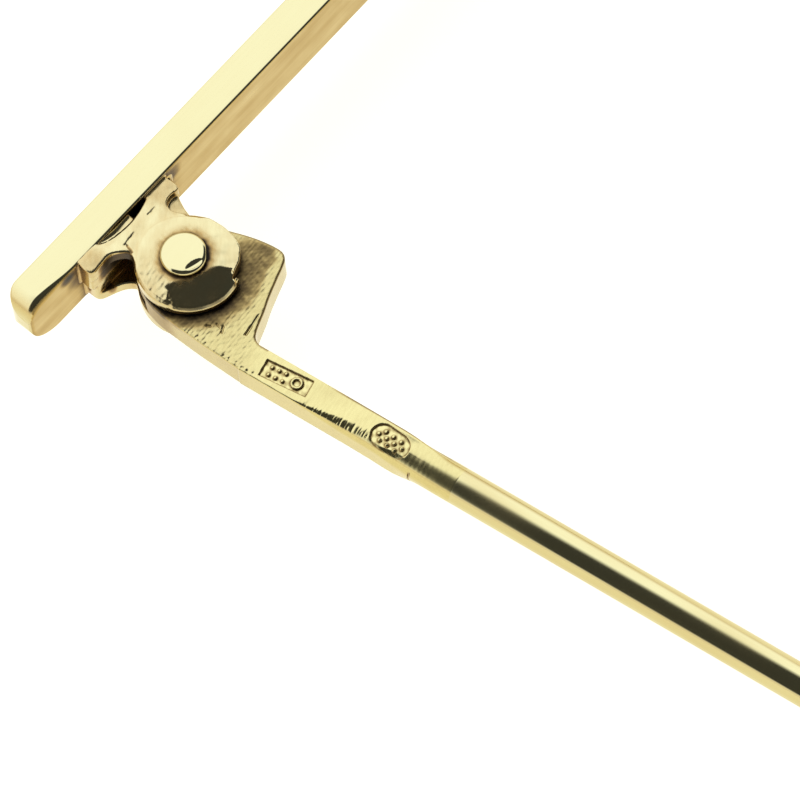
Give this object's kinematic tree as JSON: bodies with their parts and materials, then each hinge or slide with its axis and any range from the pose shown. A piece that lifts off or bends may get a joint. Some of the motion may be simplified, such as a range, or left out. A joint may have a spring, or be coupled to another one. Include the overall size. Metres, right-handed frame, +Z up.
{
  "type": "pearl bar brooch",
  "caption": "Gold bar brooch with a pearl on its front, lying on its side with its riveted pin swung open from a plain hook catch.",
  "frame": {"origin": "on the surface that the brooch lies on, under the middle of its box", "axes": "+X along the bar from hinge to catch, +Y towards the pearl's side, +Z up along the hinge rivet"},
  "size_m": [0.05, 0.0504, 0.0045],
  "materials": {
    "soldered_gold": "polished sides, filed back",
    "polished_gold": "polished",
    "drawn_gold": "drawn and filed",
    "nacre": "pearly"
  },
  "bodies": {
    "brooch": {"bar_frame": "soldered_gold", "hinge_rivet": "polished_gold", "pearl": "nacre"},
    "pin": {"pin_stem": "drawn_gold"}
  },
  "joints": [
    {"name": "pin_hinge", "type": "hinge", "parent": "brooch", "child": "pin", "pos_m": [-0.0212, 0.01758, 0.00225], "axis": [0, 0, 1], "range_deg": [-85, 81.4]}
  ]
}
